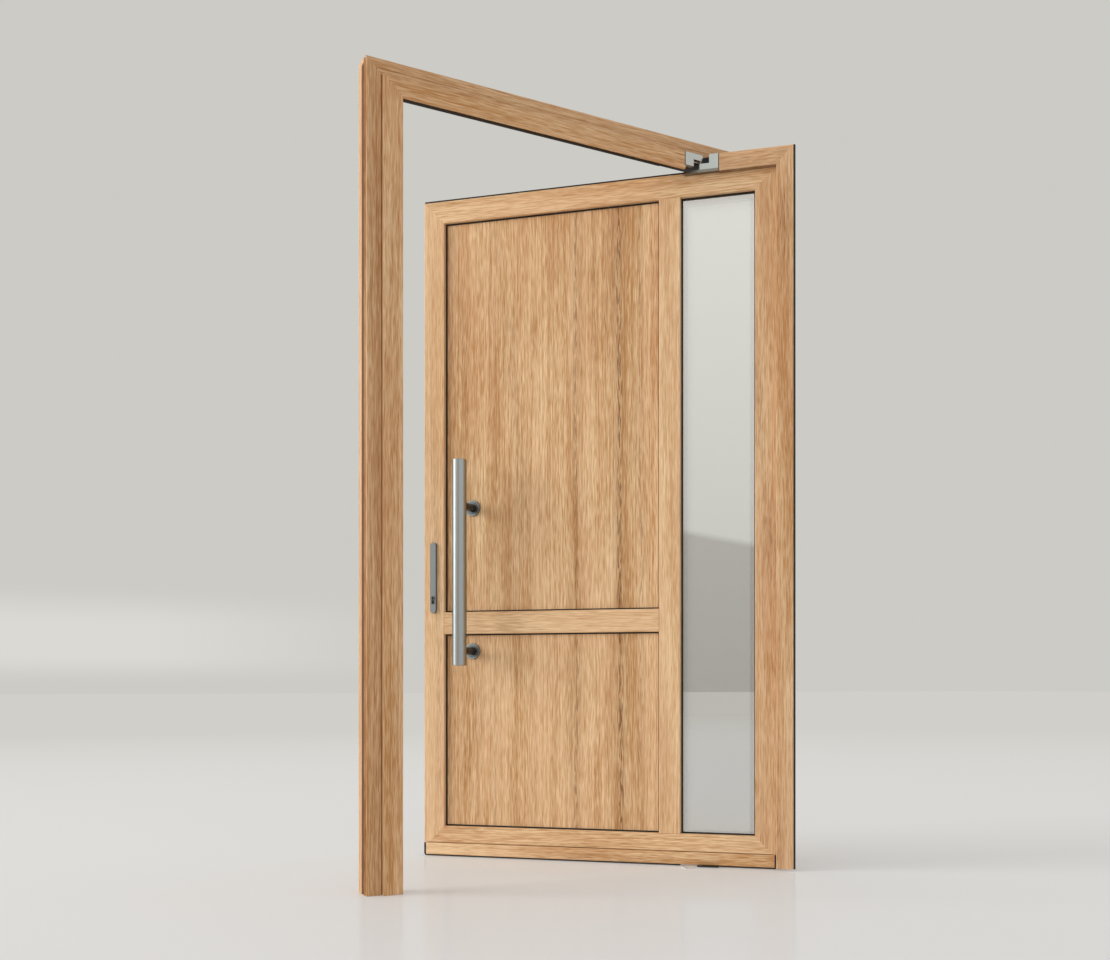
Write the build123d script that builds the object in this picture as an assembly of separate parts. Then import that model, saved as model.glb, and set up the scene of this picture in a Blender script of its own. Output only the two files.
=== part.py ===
from build123d import *
import os

os.makedirs("parts", exist_ok=True)

# Pivot door, millimetres. Origin on the floor under the pivot axis, X along the
# frame to the right, Y away from the viewer, Z up. The leaf is laid out closed
# and then turned about the axis to the angle it stands open at.

# Overall sizes
FRAME_H = 2400.0
FRAME_W = 1464.0
AXIS_RIGHT = 359.0
OPEN_DEG = 45.0

# Frame section
REVEAL = 47.0
FLANGE = 57.0
MAIN_W = 70.0
FLANGE_FRONT = -8.0
FLANGE_T = 16.0
MAIN_D = 76.0
LIP_T = 10.0
SIDE_GROOVE_D = 5.0
SIDE_GROOVE_W = 17.0
SIDE_GROOVE_IN = 3.0
FACE_GROOVE_AT = 29.0
FACE_GROOVE = 1.5

# Leaf section
LEAF_SET = 18.0
LEAF_T = 68.0
LAP = 10.0
MEMBER = 77.0
PIVOT_STILE_EXTRA = 7.0
BEAD_SEAT = 18.0
MULLION_LEFT = -147.0
MULLION_W = 74.0
MID_RAIL_Z = 782.0
BOTTOM_RAIL_TOP = 107.0
GROOVE_Z = 47.0
GROOVE_W = 2.0
TONGUE_IN = 20.0
STRIP_END = 5.5
LEAF_BOTTOM = 6.0
EDGE = 2.0
OUTER_EDGE = 4.0

# Infill
PANEL_RECESS = 17.0
PANEL_T = 34.0
GLASS_RECESS = 19.0
GLASS_T = 28.0
INFILL_EDGE = 12.0
GASKET_W = 5.0
GASKET_T = 3.5
BEAD_FACE = 1.5
MITRE_GAP = 0.3
BEAD_PLAY = 0.2

# Clearances and seals
CLEAR = 5.0
STOP_SEAL_W = 8.0
STOP_SEAL_T = 3.0
STOP_SEAL_OUT = 1.5
EDGE_SEAL_W = 5.0
TOP_SEAL_H = 5.0
FLOOR_GAP = 1.5

# Pivot fittings
CAP_END = 62.0
CAP_LEG_IN = 31.0
PIN_R = 5.0
PIN_PLAY = 0.05
ARM_H = 20.0
FOOT_H = 19.0
BASE_H = 9.0
BEARING_H = 19.0
BEARING_IN = 10.0
PLATE_T = 2.0
PLATE_REACH = 22.0
PLATE_GAP = 0.5
SHOE_R = 12.0

# Furniture
PULL_IN = 179.0
PULL_OUT = 107.0
PULL_Z = 670.0
PULL_L = 705.0
PULL_R = 24.0
POST_LOW = 721.5
POST_SPAN = 501.5
POST_R = 13.0
ROSE_R = 28.0
ROSE_T = 5.0
PLATE_IN = 38.0
PLATE_W = 22.0
PLATE_UP = 74.0
PLATE_L = 249.0
LOCK_PLATE_T = 9.0
PLATE_EDGE = 1.5
CYLINDER_OUT = 1.0
KEY_UP = 52.0

# Derived lines
RIGHT = AXIS_RIGHT
LEFT = RIGHT - FRAME_W
SIGHT = REVEAL + FLANGE
FLANGE_BACK = FLANGE_FRONT + FLANGE_T
MAIN_BACK = FLANGE_BACK + MAIN_D
FLANGE_TOP = FRAME_H - REVEAL
SIGHT_TOP = FRAME_H - SIGHT
SIGHT_LEFT = LEFT + SIGHT
SIGHT_RIGHT = RIGHT - SIGHT
HEAD_UNDER = FRAME_H - MAIN_W
LEAF_FRONT = FLANGE_FRONT + LEAF_SET
LEAF_BACK = LEAF_FRONT + LEAF_T
LEAF_LEFT = SIGHT_LEFT - LAP
LEAF_RIGHT = SIGHT_RIGHT + LAP
LEAF_TOP = SIGHT_TOP + LAP
PIVOT_STILE = MEMBER + PIVOT_STILE_EXTRA
OPEN_LEFT = LEAF_LEFT + MEMBER
OPEN_RIGHT = LEAF_RIGHT - PIVOT_STILE
OPEN_TOP = LEAF_TOP - MEMBER
MULLION_RIGHT = MULLION_LEFT + MULLION_W
MID_RAIL_TOP = MID_RAIL_Z + MEMBER
RAIL_FOOT = GROOVE_Z + GROOVE_W
PANEL_FRONT = LEAF_FRONT + PANEL_RECESS
PANEL_BACK = PANEL_FRONT + PANEL_T
GLASS_FRONT = LEAF_FRONT + GLASS_RECESS
GLASS_BACK = GLASS_FRONT + GLASS_T
BAND_BACK = FLANGE_BACK - CLEAR
REAR_LIP = LEAF_BACK + CLEAR + STOP_SEAL_T
REAR_FACE = REAR_LIP + LIP_T
FOOT_Z = SIGHT_TOP + BASE_H
ARM_Z = FLANGE_TOP - ARM_H
PULL_X = LEAF_LEFT + PULL_IN
PLATE_X = LEAF_LEFT + PLATE_IN
PLATE_Z = MID_RAIL_Z + PLATE_UP
CYLINDER_Z = PLATE_Z + KEY_UP


def slab(points, y0, y1):
    wire = Wire.make_polygon([Vector(x, y0, z) for x, z in points])
    return extrude(Face(wire), amount=y1 - y0, dir=(0, 1, 0))


def block(x0, x1, y0, y1, z0, z1):
    centre = Pos((x0 + x1) / 2, (y0 + y1) / 2, (z0 + z1) / 2)
    return centre * Box(x1 - x0, y1 - y0, z1 - z0)


def rod_z(x, y, z0, z1, r):
    return Pos(x, y, (z0 + z1) / 2) * Cylinder(r, z1 - z0)


def rod_y(x, y0, y1, z, r):
    return Pos(x, (y0 + y1) / 2, z) * Rot(90, 0, 0) * Cylinder(r, y1 - y0)


def soften(shape, y, along, size, keep=None):
    edges = shape.edges().filter_by(along).filter_by(lambda e: abs(e.center().Y - y) < 0.01)
    if keep is not None:
        edges = edges.filter_by(keep)
    return chamfer(edges, size)


def save(shape, name):
    export_step(shape, "parts/" + name + ".step")


def turn(shape):
    return Rot(0, 0, -OPEN_DEG) * shape


def save_leaf(shape, name):
    save(turn(shape), name)


def upright(outer, inner, top_out, top_in, foot, y0, y1):
    return slab([(outer, foot), (inner, foot), (inner, top_in), (outer, top_out)], y0, y1)


def header(x_out_l, x_in_l, x_in_r, x_out_r, z_in, z_out, y0, y1):
    return slab([(x_out_l, z_out), (x_in_l, z_in), (x_in_r, z_in), (x_out_r, z_out)], y0, y1)


# Fixed frame: jambs and head, mitred at the corners
def main_groove(x_side, z_foot):
    y0 = FLANGE_BACK + SIDE_GROOVE_IN
    return block(x_side - SIDE_GROOVE_D, x_side + SIDE_GROOVE_D, y0, y0 + SIDE_GROOVE_W,
                 z_foot - 1, FRAME_H + 1)


face_line = block(LEFT + FACE_GROOVE_AT, LEFT + FACE_GROOVE_AT + FACE_GROOVE,
                  FLANGE_BACK - 1, FLANGE_BACK + 1, -1, FRAME_H - FACE_GROOVE_AT)
face_line_right = block(RIGHT - FACE_GROOVE_AT - FACE_GROOVE, RIGHT - FACE_GROOVE_AT,
                        FLANGE_BACK - 1, FLANGE_BACK + 1, -1, FRAME_H - FACE_GROOVE_AT)
face_line_top = block(LEFT + FACE_GROOVE_AT, RIGHT - FACE_GROOVE_AT, FLANGE_BACK - 1, FLANGE_BACK + 1,
                      FRAME_H - FACE_GROOVE_AT - FACE_GROOVE, FRAME_H - FACE_GROOVE_AT)
groove_y = FLANGE_BACK + SIDE_GROOVE_IN
head_groove = block(LEFT - 1, RIGHT + 1, groove_y, groove_y + SIDE_GROOVE_W,
                    FRAME_H - SIDE_GROOVE_D, FRAME_H + 1)

left_jamb = upright(LEFT, LEFT + MAIN_W, FRAME_H, HEAD_UNDER, 0, FLANGE_BACK, MAIN_BACK)
left_jamb = soften(left_jamb, FLANGE_BACK, Axis.Z, OUTER_EDGE, lambda e: e.center().X < LEFT + 1)
left_jamb = left_jamb - main_groove(LEFT, 0) - face_line - head_groove
save(left_jamb, "left_jamb")

right_jamb = upright(RIGHT, RIGHT - MAIN_W, FRAME_H, HEAD_UNDER, 0, FLANGE_BACK, MAIN_BACK)
right_jamb = soften(right_jamb, FLANGE_BACK, Axis.Z, OUTER_EDGE, lambda e: e.center().X > RIGHT - 1)
right_jamb = right_jamb - main_groove(RIGHT, 0) - face_line_right - head_groove
save(right_jamb, "right_jamb")

head = header(LEFT, LEFT + MAIN_W, RIGHT - MAIN_W, RIGHT, HEAD_UNDER, FRAME_H, FLANGE_BACK, MAIN_BACK)
head = soften(head, FLANGE_BACK, Axis.X, OUTER_EDGE, lambda e: e.center().Z > FRAME_H - 1)
head = head - head_groove - face_line_top - main_groove(LEFT, 0) - main_groove(RIGHT, 0)
head = head - face_line - face_line_right
save(head, "head")

# Front stop flange, left of the axis: a thick root on the frame and a lip over the leaf
lip_back = FLANGE_FRONT + LIP_T
stop_l = LEFT + REVEAL
root_l = LEFT + MAIN_W
left_stop = upright(stop_l, SIGHT_LEFT, FLANGE_TOP, SIGHT_TOP, 0, FLANGE_FRONT, lip_back)
left_stop = soften(left_stop, FLANGE_FRONT, Axis.Z, EDGE)
left_stop = left_stop + upright(stop_l, root_l, FLANGE_TOP, HEAD_UNDER, 0, lip_back, FLANGE_BACK)
save(left_stop, "left_front_stop")

head_stop = slab([(stop_l, FLANGE_TOP), (SIGHT_LEFT, SIGHT_TOP), (-CAP_END, SIGHT_TOP),
                  (-CAP_END, FLANGE_TOP)], FLANGE_FRONT, lip_back)
head_stop = soften(head_stop, FLANGE_FRONT, Axis.X, EDGE)
head_stop = head_stop + slab([(stop_l, FLANGE_TOP), (root_l, HEAD_UNDER), (-CAP_END, HEAD_UNDER),
                              (-CAP_END, FLANGE_TOP)], lip_back, FLANGE_BACK)
save(head_stop, "head_front_stop")

seal_in = SIGHT_LEFT + STOP_SEAL_OUT
seal_low = SIGHT_TOP - STOP_SEAL_OUT
left_seal = block(seal_in - STOP_SEAL_W, seal_in, lip_back, lip_back + STOP_SEAL_T, FLOOR_GAP, seal_low)
save(left_seal, "left_stop_seal")
head_seal = block(seal_in - STOP_SEAL_W, -CAP_END, lip_back, lip_back + STOP_SEAL_T,
                  seal_low, seal_low + STOP_SEAL_W)
save(head_seal, "head_stop_seal")

# Rear stop flange, right of the axis
rear_r = RIGHT - REVEAL
rear_root = RIGHT - MAIN_W
rear_start = LEAF_BACK + 2 * CLEAR
right_rear = upright(rear_r, SIGHT_RIGHT, FLANGE_TOP, SIGHT_TOP, 0, REAR_LIP, REAR_FACE)
right_rear = soften(right_rear, REAR_FACE, Axis.Z, EDGE)
right_rear = right_rear + upright(rear_r, rear_root, FLANGE_TOP, HEAD_UNDER, 0, MAIN_BACK, REAR_LIP)
save(right_rear, "right_rear_stop")
head_rear = slab([(rear_r, FLANGE_TOP), (SIGHT_RIGHT, SIGHT_TOP), (rear_start, SIGHT_TOP),
                  (rear_start, FLANGE_TOP)], REAR_LIP, REAR_FACE)
head_rear = soften(head_rear, REAR_FACE, Axis.X, EDGE)
head_rear = head_rear + slab([(rear_r, FLANGE_TOP), (rear_root, HEAD_UNDER), (rear_start, HEAD_UNDER),
                              (rear_start, FLANGE_TOP)], MAIN_BACK, REAR_LIP)
save(head_rear, "head_rear_stop")
rear_in = SIGHT_RIGHT - STOP_SEAL_OUT
rear_seal_y = REAR_LIP - STOP_SEAL_T
save(block(rear_in, rear_in + STOP_SEAL_W, rear_seal_y, REAR_LIP, FLOOR_GAP, seal_low), "right_rear_seal")
save(block(rear_start, rear_in + STOP_SEAL_W, rear_seal_y, REAR_LIP, seal_low, seal_low + STOP_SEAL_W),
     "head_rear_seal")

# Fixed pivot cap: a leg that ends the stop flange and an arm that carries the pin
arm_tip = -FLANGE_FRONT
fixed_cap = block(-CAP_END, -CAP_LEG_IN, FLANGE_FRONT, FLANGE_BACK, FOOT_Z + CLEAR, FLANGE_TOP)
fixed_cap = fixed_cap + block(-CAP_LEG_IN, 0, FLANGE_FRONT, FLANGE_BACK, ARM_Z, FLANGE_TOP)
fixed_cap = fixed_cap + rod_z(0, 0, ARM_Z, FLANGE_TOP, arm_tip)
fixed_cap = fixed_cap - rod_z(0, 0, ARM_Z - 1, FLANGE_TOP - 4, PIN_R)
save(fixed_cap, "fixed_pivot_cap")
save(rod_z(0, 0, FOOT_Z + 2, FLANGE_TOP - 4, PIN_R), "top_pivot_pin")

# Floor plate with its upstanding pin, low enough to pass under the leaf
plate_back = LEAF_FRONT + PLATE_REACH
floor_plate = block(-CAP_END, CAP_LEG_IN, FLANGE_FRONT, plate_back, 0, PLATE_T)
save(floor_plate, "floor_pivot_plate")
save(rod_z(0, 0, PLATE_T, LEAF_BOTTOM - PLATE_GAP, PIN_R), "floor_pivot_pin")

# Leaf frame: rebated members, mitred at the four corners
def member(front, rear, along):
    return soften(front, LEAF_FRONT, along, EDGE) + soften(rear, LEAF_BACK, along, EDGE)


mid_y = PANEL_FRONT
rear_l = OPEN_LEFT - BEAD_SEAT
rear_r2 = OPEN_RIGHT + BEAD_SEAT
rear_top = OPEN_TOP + BEAD_SEAT
rear_low = BOTTOM_RAIL_TOP - BEAD_SEAT
foot_l = OPEN_LEFT - (BOTTOM_RAIL_TOP - RAIL_FOOT)
foot_r = OPEN_RIGHT + (BOTTOM_RAIL_TOP - RAIL_FOOT)
foot_rl = rear_l - (rear_low - RAIL_FOOT)
foot_rr = rear_r2 + (rear_low - RAIL_FOOT)

lock_front = slab([(LEAF_LEFT, RAIL_FOOT), (foot_l, RAIL_FOOT), (OPEN_LEFT, BOTTOM_RAIL_TOP),
                   (OPEN_LEFT, OPEN_TOP), (LEAF_LEFT, LEAF_TOP)], LEAF_FRONT, mid_y)
lock_rear = slab([(LEAF_LEFT, RAIL_FOOT), (foot_l, RAIL_FOOT), (rear_l, rear_low),
                  (rear_l, rear_top), (LEAF_LEFT, LEAF_TOP)], mid_y, LEAF_BACK)
save_leaf(member(lock_front, lock_rear, Axis.Z), "lock_stile")

pivot_front = slab([(LEAF_RIGHT, RAIL_FOOT), (foot_r, RAIL_FOOT), (OPEN_RIGHT, BOTTOM_RAIL_TOP),
                    (OPEN_RIGHT, OPEN_TOP), (LEAF_RIGHT, LEAF_TOP)], LEAF_FRONT, mid_y)
pivot_rear = slab([(LEAF_RIGHT, RAIL_FOOT), (foot_r, RAIL_FOOT), (rear_r2, rear_low),
                   (rear_r2, rear_top), (LEAF_RIGHT, LEAF_TOP)], mid_y, LEAF_BACK)
save_leaf(member(pivot_front, pivot_rear, Axis.Z), "pivot_stile")

top_front = header(LEAF_LEFT, OPEN_LEFT, OPEN_RIGHT, LEAF_RIGHT, OPEN_TOP, LEAF_TOP, LEAF_FRONT, mid_y)
top_rear = header(LEAF_LEFT, rear_l, rear_r2, LEAF_RIGHT, rear_top, LEAF_TOP, mid_y, LEAF_BACK)
save_leaf(member(top_front, top_rear, Axis.X), "top_rail")

bottom_front = slab([(foot_l, RAIL_FOOT), (foot_r, RAIL_FOOT), (OPEN_RIGHT, BOTTOM_RAIL_TOP),
                     (OPEN_LEFT, BOTTOM_RAIL_TOP)], LEAF_FRONT, mid_y)
bottom_rear = slab([(foot_l, RAIL_FOOT), (foot_r, RAIL_FOOT), (rear_r2, rear_low),
                    (rear_l, rear_low)], mid_y, LEAF_BACK)
save_leaf(member(bottom_front, bottom_rear, Axis.X), "bottom_rail")

mull_front = block(MULLION_LEFT, MULLION_RIGHT, LEAF_FRONT, mid_y, BOTTOM_RAIL_TOP, OPEN_TOP)
mull_rear = block(MULLION_LEFT + BEAD_SEAT, MULLION_RIGHT - BEAD_SEAT, mid_y, LEAF_BACK, rear_low, rear_top)
save_leaf(member(mull_front, mull_rear, Axis.Z), "mullion")

midr_front = block(OPEN_LEFT, MULLION_LEFT, LEAF_FRONT, mid_y, MID_RAIL_Z, MID_RAIL_TOP)
midr_rear = block(rear_l, MULLION_LEFT + BEAD_SEAT, mid_y, LEAF_BACK,
                  MID_RAIL_Z + BEAD_SEAT, MID_RAIL_TOP - BEAD_SEAT)
save_leaf(member(midr_front, midr_rear, Axis.X), "mid_rail")

# Infill panes, gaskets and rear beads, one set for each opening
def ring(x0, x1, z0, z1, w, y0, y1):
    return block(x0, x1, y0, y1, z0, z1) - block(x0 + w, x1 - w, y0 - 1, y1 + 1, z0 + w, z1 - w)


def beads(x0, x1, z0, z1, w, y0, y1):
    g = MITRE_GAP
    low = slab([(x0 + g, z0), (x1 - g, z0), (x1 - w - g, z0 + w), (x0 + w + g, z0 + w)], y0, y1)
    high = slab([(x0 + g, z1), (x1 - g, z1), (x1 - w - g, z1 - w), (x0 + w + g, z1 - w)], y0, y1)
    left = slab([(x0, z0 + g), (x0 + w, z0 + w + g), (x0 + w, z1 - w - g), (x0, z1 - g)], y0, y1)
    right = slab([(x1, z0 + g), (x1 - w, z0 + w + g), (x1 - w, z1 - w - g), (x1, z1 - g)], y0, y1)
    return Compound(children=[low, high, left, right])


def infill(name, x0, x1, z0, z1, front, back):
    e = INFILL_EDGE
    s = BEAD_SEAT - BEAD_PLAY
    save_leaf(block(x0 - e, x1 + e, front, back, z0 - e, z1 + e), name)
    save_leaf(ring(x0, x1, z0, z1, GASKET_W, front - GASKET_T, front), name + "_gasket")
    save_leaf(beads(x0 - s, x1 + s, z0 - s, z1 + s, s, back, LEAF_BACK - BEAD_FACE), name + "_beads")


infill("upper_panel", OPEN_LEFT, MULLION_LEFT, MID_RAIL_TOP, OPEN_TOP, PANEL_FRONT, PANEL_BACK)
infill("lower_panel", OPEN_LEFT, MULLION_LEFT, BOTTOM_RAIL_TOP, MID_RAIL_Z, PANEL_FRONT, PANEL_BACK)
infill("glass_pane", MULLION_RIGHT, OPEN_RIGHT, BOTTOM_RAIL_TOP, OPEN_TOP, GLASS_FRONT, GLASS_BACK)

# Bottom strip profile with the seals above and below
tongue_y0 = LEAF_FRONT + TONGUE_IN
tongue_y1 = LEAF_BACK - TONGUE_IN
strip = block(LEAF_LEFT + 2, SIGHT_RIGHT - STRIP_END, LEAF_FRONT, LEAF_BACK, LEAF_BOTTOM, GROOVE_Z)
strip = soften(strip, LEAF_FRONT, Axis.X, EDGE / 2)
strip = strip + block(LEAF_LEFT + TONGUE_IN, SIGHT_RIGHT - TONGUE_IN, tongue_y0, tongue_y1,
                      GROOVE_Z, RAIL_FOOT)
save_leaf(strip, "bottom_strip")

seal_y0 = LEAF_FRONT + 2
seal_y1 = LEAF_FRONT + 10
break_l = -CAP_END - 2 * CLEAR - 2
break_r = CAP_END + 2
seal_left = block(LEAF_LEFT + 2, break_l, seal_y0, seal_y1, FLOOR_GAP, LEAF_BOTTOM)
seal_right = block(break_r, SIGHT_RIGHT - STRIP_END, seal_y0, seal_y1, FLOOR_GAP, LEAF_BOTTOM)
save_leaf(Compound(children=[seal_left, seal_right]), "bottom_seal")
save_leaf(block(LEAF_LEFT + 2, LEAF_RIGHT - 2, LEAF_FRONT + 2, LEAF_FRONT + 10, LEAF_TOP,
                LEAF_TOP + TOP_SEAL_H), "top_seal")

# Cover flange carried by the leaf, right of the axis
band_out = RIGHT - REVEAL
side_band = slab([(SIGHT_RIGHT, LEAF_BOTTOM), (band_out, LEAF_BOTTOM), (band_out, FLANGE_TOP),
                  (SIGHT_RIGHT, SIGHT_TOP)], FLANGE_FRONT, BAND_BACK)
side_band = soften(side_band, FLANGE_FRONT, Axis.Z, EDGE)
side_band = side_band + slab([(SIGHT_RIGHT, LEAF_BOTTOM), (LEAF_RIGHT, LEAF_BOTTOM),
                              (LEAF_RIGHT, LEAF_TOP), (SIGHT_RIGHT, SIGHT_TOP)], BAND_BACK, LEAF_FRONT)
save_leaf(side_band, "side_cover_flange")
top_band = slab([(CAP_END, SIGHT_TOP), (SIGHT_RIGHT, SIGHT_TOP), (band_out, FLANGE_TOP),
                 (CAP_END, FLANGE_TOP)], FLANGE_FRONT, BAND_BACK)
top_band = soften(top_band, FLANGE_FRONT, Axis.X, EDGE)
top_band = top_band + slab([(CAP_END, SIGHT_TOP), (SIGHT_RIGHT, SIGHT_TOP), (LEAF_RIGHT, LEAF_TOP),
                            (CAP_END, LEAF_TOP)], BAND_BACK, LEAF_FRONT)
save_leaf(top_band, "top_cover_flange")
edge_y = FLANGE_FRONT + 2
save_leaf(block(band_out, band_out + EDGE_SEAL_W, edge_y, BAND_BACK, LEAF_BOTTOM, FLANGE_TOP),
          "cover_edge_seal")

# Leaf pivot cap: base on the leaf, leg that ends the cover flange, foot under the pin
foot_end = FOOT_Z + FOOT_H
leaf_cap = block(CAP_LEG_IN, CAP_END, FLANGE_FRONT, BAND_BACK, FOOT_Z, FLANGE_TOP)
leaf_cap = leaf_cap + block(0, CAP_LEG_IN, FLANGE_FRONT, BAND_BACK, FOOT_Z, foot_end)
leaf_cap = leaf_cap + rod_z(0, 0, FOOT_Z, foot_end, arm_tip)
leaf_cap = leaf_cap - rod_z(0, 0, FOOT_Z - 1, foot_end + 1, PIN_R + PIN_PLAY)
save_leaf(leaf_cap, "leaf_pivot_cap")
base_l = -CAP_END + CLEAR + 1
save_leaf(block(base_l, CAP_END, FLANGE_FRONT, LEAF_FRONT, SIGHT_TOP, FOOT_Z), "leaf_pivot_base")

bearing = block(BEARING_IN, CAP_LEG_IN, FLANGE_FRONT + 1, BAND_BACK, foot_end, foot_end + BEARING_H)
save_leaf(bearing, "pivot_bearing")

# Bottom pivot shoe: a low plate under the strip that turns on the floor pin
shoe_z = PLATE_T + PLATE_GAP
shoe = block(0, CAP_END, FLANGE_FRONT, plate_back, shoe_z, LEAF_BOTTOM)
shoe = shoe + rod_z(0, 0, shoe_z, LEAF_BOTTOM, SHOE_R)
shoe = shoe - rod_z(0, 0, shoe_z - 1, LEAF_BOTTOM + 1, PIN_R + PIN_PLAY)
save_leaf(shoe, "bottom_pivot_shoe")

# Pull bars, their posts and roses, on both faces
def pull(name, y_bar, y_face, side):
    bar = rod_z(PULL_X, y_bar, PULL_Z, PULL_Z + PULL_L, PULL_R)
    save_leaf(chamfer(bar.edges().filter_by(GeomType.CIRCLE), EDGE / 2), name + "_bar")
    posts = []
    for z in (POST_LOW, POST_LOW + POST_SPAN):
        y_rose = y_face + side * ROSE_T
        rose = rod_y(PULL_X, min(y_face, y_rose), max(y_face, y_rose), z, ROSE_R)
        rim = rose.edges().filter_by(lambda e: abs(e.center().Y - y_rose) < 0.01)
        rose = chamfer(rim.filter_by(GeomType.CIRCLE), EDGE)
        y_end = y_bar - side * PULL_R * 0.3
        post = rod_y(PULL_X, min(y_face, y_end), max(y_face, y_end), z, POST_R)
        post = post - rod_z(PULL_X, y_bar, z - 2 * POST_R, z + 2 * POST_R, PULL_R)
        posts.append(rose + post)
    save_leaf(Compound(children=posts), name + "_posts")


pull("front_pull", PANEL_FRONT - PULL_OUT, PANEL_FRONT, -1)
pull("rear_pull", PANEL_BACK + PULL_OUT, PANEL_BACK, 1)


# Lock plates on both faces and the key cylinder ends in them
def lock_plate(y0, y1, y_face):
    half = PLATE_W / 2
    plate = block(PLATE_X - half, PLATE_X + half, y0, y1, PLATE_Z + half, PLATE_Z + PLATE_L - half)
    plate = plate + rod_y(PLATE_X, y0, y1, PLATE_Z + half, half)
    plate = plate + rod_y(PLATE_X, y0, y1, PLATE_Z + PLATE_L - half, half)
    rim = plate.edges().filter_by(lambda e: abs(e.center().Y - y_face) < 0.01)
    return chamfer(rim, PLATE_EDGE)


def cylinder(y0, y1, grow):
    r = 8.5 + grow
    slot = 5.0 + grow
    body = rod_y(PLATE_X, y0, y1, CYLINDER_Z, r)
    body = body + block(PLATE_X - slot, PLATE_X + slot, y0, y1, CYLINDER_Z - 20 - grow, CYLINDER_Z)
    return body


hole = cylinder(LEAF_FRONT - 20, LEAF_BACK + 20, 0.0)
plate_front = LEAF_FRONT - LOCK_PLATE_T
plate_rear = LEAF_BACK + LOCK_PLATE_T
save_leaf(lock_plate(plate_front, LEAF_FRONT, plate_front) - hole, "front_lock_plate")
save_leaf(lock_plate(LEAF_BACK, plate_rear, plate_rear) - hole, "rear_lock_plate")
save_leaf(cylinder(plate_front - CYLINDER_OUT, LEAF_FRONT, 0.0), "front_cylinder")
save_leaf(cylinder(LEAF_BACK, plate_rear + CYLINDER_OUT, 0.0), "rear_cylinder")
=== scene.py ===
import math

import bmesh
import bpy
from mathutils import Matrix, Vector


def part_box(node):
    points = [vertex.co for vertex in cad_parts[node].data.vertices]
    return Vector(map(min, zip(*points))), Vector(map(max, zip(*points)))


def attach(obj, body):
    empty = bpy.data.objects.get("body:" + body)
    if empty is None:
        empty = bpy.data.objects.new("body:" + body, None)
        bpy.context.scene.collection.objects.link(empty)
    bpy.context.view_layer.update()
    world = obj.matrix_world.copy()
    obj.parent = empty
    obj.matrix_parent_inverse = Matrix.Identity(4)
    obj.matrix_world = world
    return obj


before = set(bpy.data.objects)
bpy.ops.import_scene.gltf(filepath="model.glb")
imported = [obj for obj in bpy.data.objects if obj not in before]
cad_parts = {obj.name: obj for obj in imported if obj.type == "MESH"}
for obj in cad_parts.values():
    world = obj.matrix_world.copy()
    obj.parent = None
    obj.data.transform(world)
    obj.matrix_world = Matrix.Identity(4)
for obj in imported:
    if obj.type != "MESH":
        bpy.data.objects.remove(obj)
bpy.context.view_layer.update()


# Fixed frame: two jambs and a head, hollow profiles mitred and welded at the corners, wrapped in
# an oak-printed foil whose grain runs along every length, so it turns at each mitre.
# The foil gives the eye fine fibres, darker late-wood lines that wander, and broad warm tone bands.
def linear(code):
    """An sRGB hex colour as linear RGBA."""
    parts = [int(code[i:i + 2], 16) / 255 for i in (0, 2, 4)]
    parts = [p / 12.92 if p <= 0.04045 else ((p + 0.055) / 1.055) ** 2.4 for p in parts]
    return parts + [1.0]


def add(tree, kind, inputs=None, **settings):
    """One node with its settings. An input is a value, or another node's output to link."""
    made = tree.nodes.new(kind)
    for name, value in settings.items():
        setattr(made, name, value)
    for key, value in (inputs or {}).items():
        if isinstance(value, bpy.types.NodeSocket):
            tree.links.new(value, made.inputs[key])
        else:
            made.inputs[key].default_value = value
    return made.outputs


def new_finish(name):
    """An empty node material."""
    finish = bpy.data.materials.new(name)
    finish.use_nodes = True
    finish.node_tree.nodes.clear()
    return finish, finish.node_tree


def dress(piece, finish):
    """Gives a carried-over solid its finish."""
    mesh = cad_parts[piece].data
    mesh.materials.clear()
    mesh.materials.append(finish)


DARK_OAK, PALE_OAK, BLUSH = "BF8B56", "F8D6A9", "CE9068"
BROWN, VEIN = "8A5A30", "663C1A"


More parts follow.
